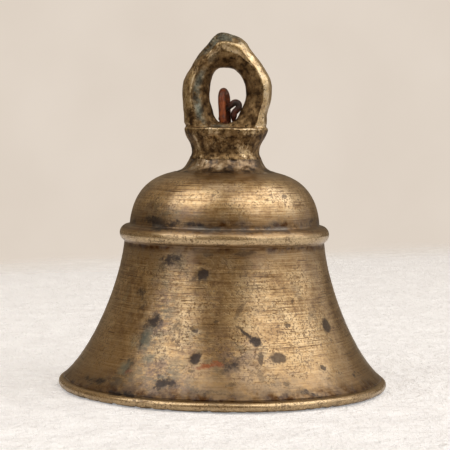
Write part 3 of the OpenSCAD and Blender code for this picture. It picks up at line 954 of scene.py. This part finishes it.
def make_solder(materials):
    """The braze round the crown's foot: an uneven fillet with a few fat beads."""
    top = SOLDER_BOX[1][2]
    edge_r = SEAT_R - 0.1
    slope = bezier((edge_r, DOME_H), (10.6, DOME_H + 0.5), (FOOT_R + 0.5, DOME_H + 1.6), (FOOT_R, top), 26)
    back = [line((FOOT_R, top), (FOOT_R, DOME_H), 6), line((FOOT_R, DOME_H), (edge_r, DOME_H), 8)]
    fillet = lathe("braze_fillet", np.concatenate([slope, *back]), 240, materials)
    points = points_of(fillet)
    free = (points[:, 2] > DOME_H + 0.02) & (radius_of(points) > FOOT_R + 0.02)
    move = 0.22 * noise_at(points, 0.33, 4) + 0.08 * noise_at(points, 0.9, 8) - 0.05
    for turn_deg, height, size in BRAZE_BEADS:
        a = math.radians(turn_deg)
        centre = np.array([10 * math.sin(a), -10 * math.cos(a), height])
        move += 0.28 * bump(np.linalg.norm(points - centre, axis=1), size)
    push_out(fillet, points, np.where(free, move, 0))
    return fillet


# ---- Wires and clapper ----

def rusted(path, radius, depth, offset):
    """A wire's radius along its path, thinned unevenly by rust."""
    return radius * (1 - depth + depth * 0.9 * noise_at(path, 0.55, offset))


def make_hanger(materials):
    """The hanger bent from one wire: hook, crossbar, eye, and back down to the lap beside the hook."""
    corners = [
        [0, STIRRUP_HALF, HOOK_TOP_H], [0, STIRRUP_HALF, PIVOT[2]], [0, -STIRRUP_HALF, PIVOT[2]],
        [0, -STIRRUP_HALF, 45], [0, -BORE_RUN, 48.3], [0, -BORE_RUN, 64.2],
        [EYE_LEAN / 3, -EYE_HALF, 66.8], [EYE_LEAN, -EYE_HALF, EYE_TOP_H], [EYE_LEAN, EYE_HALF, EYE_TOP_H],
        [EYE_LEAN / 3, EYE_HALF, 66.8], [0, BORE_RUN, 64.2], [0, BORE_RUN, 48.6],
        [LAP, STIRRUP_HALF, 45.4], [LAP, STIRRUP_HALF, 42.6]]
    bends = [0, 1.3, 1.3, 2, 2.2, 4, 3, EYE_HALF, EYE_HALF, 3, 4, 2.2, 2, 0]
    path = turned(bent_wire(corners, bends))
    hanger = tube("hanger_bent_wire", path, rusted(path, WIRE_R, 0.05, 1.0), 24, (1, 0, 0), materials)
    points = points_of(hanger)
    push_out(hanger, points, 0.035 * noise_at(points, 1.6, 5) - 0.02)
    return hanger


def make_pin(materials):
    """The pin bent over through the hanger's eye, tapering to a blunt point."""
    step = 0.2
    corners = [[-1.2, 0, 66.9], [-0.75, 0, 69.1], [2.6, 0, 71.5], [3.66, 0, 70.2], [2.05, 0, 68.6],
               [1.95, 0, 66.5]]
    path = turned(bent_wire(corners, [0, 1.6, 0.95, 0.95, 1.2, 0], step))
    to_tip = np.arange(len(path))[::-1] * step
    radii = PIN_TIP_R + (rusted(path, PIN_R, 0.06, 6.0) - PIN_TIP_R) * rise(to_tip, 0, 1.2)
    pin = tube("bent_pin", path, radii, 24, (0.3, 0.95, 0.1), materials)
    points = points_of(pin)
    push_out(pin, points, 0.03 * noise_at(points, 1.8, 2) - 0.02)
    return pin


def make_shank(materials):
    """The clapper's rod, its top bent round into an eye, its foot riveted over under the ball."""
    ring = np.radians(np.linspace(-90, 252, 90))
    eye = np.column_stack([EYE_RING_R * np.cos(ring), 0 * ring, EYE_RING_H + EYE_RING_R * np.sin(ring)])
    stem = line((0, 0, BOB_FLAT_H + 0.2), (0, 0, EYE_RING_H - EYE_RING_R - 0.3), 50)
    path = turned(np.concatenate([stem, eye]))
    radii = rusted(path, SHANK_R, 0.03, 3.0)
    shank = tube("clapper_rod", path, radii, 24, (0.3, 0.95, 0.1), materials)
    head = arc((0, BOB_FLAT_H), 1, 0, -88, 12) * [RIVET_R, RIVET_H] + [0, BOB_FLAT_H * (1 - RIVET_H)]
    top = [(AXIS_R, BOB_FLAT_H + 0.5), (SHANK_R - 0.1, BOB_FLAT_H + 0.5), (SHANK_R, BOB_FLAT_H - 0.02)]
    rivet = round_solid("rivet_part", np.concatenate([top, head - [0, 0.02]]), 48, materials)
    combine(shank, rivet, "UNION")
    applied(shank)
    bpy.data.objects.remove(rivet)
    return shank


def make_bob(materials):
    """The cast ball: its flat underneath, a mould seam, dents from striking, and the rod's bore."""
    top = math.sqrt(BOB_R ** 2 - BORE_WALL_R ** 2)
    start = math.degrees(math.asin((BOB_FLAT_H - BOB_H) / BOB_R))
    end = math.degrees(math.asin(top / BOB_R))
    ball = arc((0, BOB_H), BOB_R, start, end, 90)
    bore = line((BORE_WALL_R, BOB_H + top), (BORE_WALL_R, BOB_FLAT_H), 10)
    flat = line((BORE_WALL_R, BOB_FLAT_H), (ball[0][0], BOB_FLAT_H), 6)
    bob = lathe("clapper_ball", np.concatenate([ball, bore, flat]), 160, materials)
    points = points_of(bob)
    free = (radius_of(points) > BORE_WALL_R + 0.45) & (points[:, 2] > BOB_FLAT_H + 0.05)
    seam = 0.12 * bump(points[:, 1] * 0.95 - points[:, 0] * 0.3, 0.35)
    move = seam + 0.08 * noise_at(points, 0.28, 2) + 0.03 * noise_at(points, 1.0, 6) - 0.12
    push_out(bob, points, np.where(free, move, 0))
    return bob


# ---- Pieces on their bodies ----

def install(piece, body, node):
    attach(piece, body)
    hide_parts(node)


rusty = iron("rusty_iron", (0.20, 0.045, 0.014), (0.40, 0.10, 0.022), (0.085, 0.055, 0.042))
dark = iron("dark_iron", (0.07, 0.02, 0.011), (0.16, 0.04, 0.018), (0.028, 0.015, 0.011))

install(make_bell([turned_brass(), bell_inside()]), "bell", "bell_body")
install(make_crown([cast_brass()]), "bell", "crown")
install(make_solder([solder_metal()]), "bell", "neck_solder")
install(make_hanger([rusty]), "hanger", "hanger_wire")
install(make_pin([dark]), "pin", "retaining_pin")
install(make_shank([rusty]), "clapper", "clapper_shank")
install(make_bob([clapper_brass()]), "clapper", "clapper_bob")


# ---- Floor, lights and camera ----

def floor_material():
    """Pale rough plaster, faintly lit in itself as a bright sweep is, fading out at its far edge."""
    g = Surface("floor")
    lumps = g.clouds(0.10, 5, 0.6)
    grain = g.noise(g.scaled(g.mm, (1, 0.7, 1)), 0.35, 4, 0.65)
    specks = g.step(g.clouds(0.42, 2), 0.70, 0.76)
    color = g.mix(g.step(lumps, 0.35, 0.7), (0.83, 0.81, 0.805), (0.92, 0.905, 0.90))
    color = g.mix(g.times(specks, 0.3), color, (0.62, 0.55, 0.46))
    # Grey patches: painted shade of small hollows in the plaster
    hollow_shade = g.step(g.clouds(0.55, 4, 0.7), 0.46, 0.36)
    color = g.mix(g.times(hollow_shade, 0.35), color, (0.66, 0.62, 0.58))
    normal = g.bump(g.plus(grain, lumps), 3.4)
    seen = g.node("LightPath").outputs["Is Camera Ray"]
    edge = g.plus(g.length(g.mm), g.times(g.clouds(0.006, 2), 120), g.times(g.x, -0.7))
    return g.shade(color, 0.0, 0.85, normal, Emission_Color=color, Emission_Strength=g.times(seen, 0.385),
                   Alpha=g.step(edge, FLOOR_R + 60, FLOOR_R - 90))


def make_floor():
    """A disc with small lumps of plaster, a little below the rim's own plane."""
    reach = 0.5 + FLOOR_R * 1.3 * np.linspace(0.02, 1, 150) ** 1.5
    outline = np.column_stack([[0.5, *reach], np.zeros(len(reach) + 1)])
    under = outline[::-1] - [0, 6.0]
    floor = lathe("floor", np.concatenate([outline, under]), 300, [floor_material()])
    points = points_of(floor)
    rough = 0.10 * noise_at(points, 0.22, 3) + 0.14 * noise_at(points, 0.07, 8)
    points[:, 2] += np.where(points[:, 2] > -3, rough - 0.24, 0)
    place_points(floor, points)


# Where the lights point, and each one's name, azimuth, elevation, distance, width, height and
# radiance, in degrees and metres
LIGHT_AIM = (0, 0, 0.04)
SOFTBOXES = [
    ("key_right", 66, 49, 0.75, 0.98, 0.62, 1.48),
    ("key_left", -56, 49, 0.75, 0.62, 0.62, 1.42),
    ("low_right", 67, 14, 0.75, 0.98, 0.36, 0.62),
    ("side_right", 112, 30, 0.80, 0.50, 0.90, 0.36),
    ("low_left", -49, 14, 0.75, 0.42, 0.36, 0.55)]


def softbox(name, azimuth, elevation, distance, width, height, radiance):
    """A rectangular soft light that faces the bell. Azimuth 0 is the camera's side, + to the right."""
    data = bpy.data.lights.new(name, "AREA")
    data.shape = "RECTANGLE"
    data.size, data.size_y = width, height
    data.energy = radiance * math.pi * width * height
    lamp = bpy.data.objects.new(name, data)
    a, e = math.radians(azimuth), math.radians(elevation)
    way = Vector((math.sin(a) * math.cos(e), -math.cos(a) * math.cos(e), math.sin(e)))
    lamp.location = Vector(LIGHT_AIM) + way * distance
    lamp.rotation_euler = way.to_track_quat("Z", "Y").to_euler()
    lamp.visible_camera = False
    bpy.context.scene.collection.objects.link(lamp)


# Light from the room, as (share of the way from the horizon to overhead, colour)
SKY = [(0.0, (0.16, 0.12, 0.075)), (0.95, (0.42, 0.34, 0.24)), (1.0, (1.0, 1.0, 1.0))]


def make_world():
    """Warm room light, dimmer than the backdrop that the camera sees behind the floor."""
    world = bpy.data.worlds.new("studio")
    bpy.context.scene.world = world
    g = Graph(world)
    way = g.node("TexCoord").outputs["Generated"]
    height = g.node("SeparateXYZ", {0: way}).outputs[2]
    fill = g.node("Background", {0: g.ramp(height, SKY)}).outputs[0]
    wall = g.ramp(g.noise(way, 14, 3, 0.5), [(0.35, (0.73, 0.64, 0.55)), (0.65, (0.76, 0.67, 0.58))])
    backdrop = g.node("Background", {0: wall}).outputs[0]
    seen = g.node("LightPath").outputs["Is Camera Ray"]
    shown = g.node("MixShader", {0: seen, 1: fill, 2: backdrop}).outputs[0]
    g.node("OutputWorld", {0: shown})


CAMERA_PLACE = (0, -0.400, 0.064)
CAMERA_TIP = 3.37
CAMERA_ROLL = 0.8


def make_camera():
    """A long lens level with the collar, tipped slightly down and rolled very slightly."""
    data = bpy.data.cameras.new("camera")
    camera = bpy.data.objects.new("camera", data)
    bpy.context.scene.collection.objects.link(camera)
    bpy.context.scene.camera = camera
    data.sensor_width = 36.0
    data.lens = 127.5
    data.shift_x = 0.0010
    data.clip_start, data.clip_end = 0.01, 20
    pitch, roll = math.radians(90 - CAMERA_TIP), math.radians(CAMERA_ROLL)
    camera.matrix_world = (Matrix.Translation(CAMERA_PLACE) @ Matrix.Rotation(pitch, 4, "X")
                           @ Matrix.Rotation(roll, 4, "Z"))


make_floor()
for light in SOFTBOXES:
    softbox(*light)
make_world()
make_camera()
bpy.context.scene.view_settings.view_transform = "Standard"
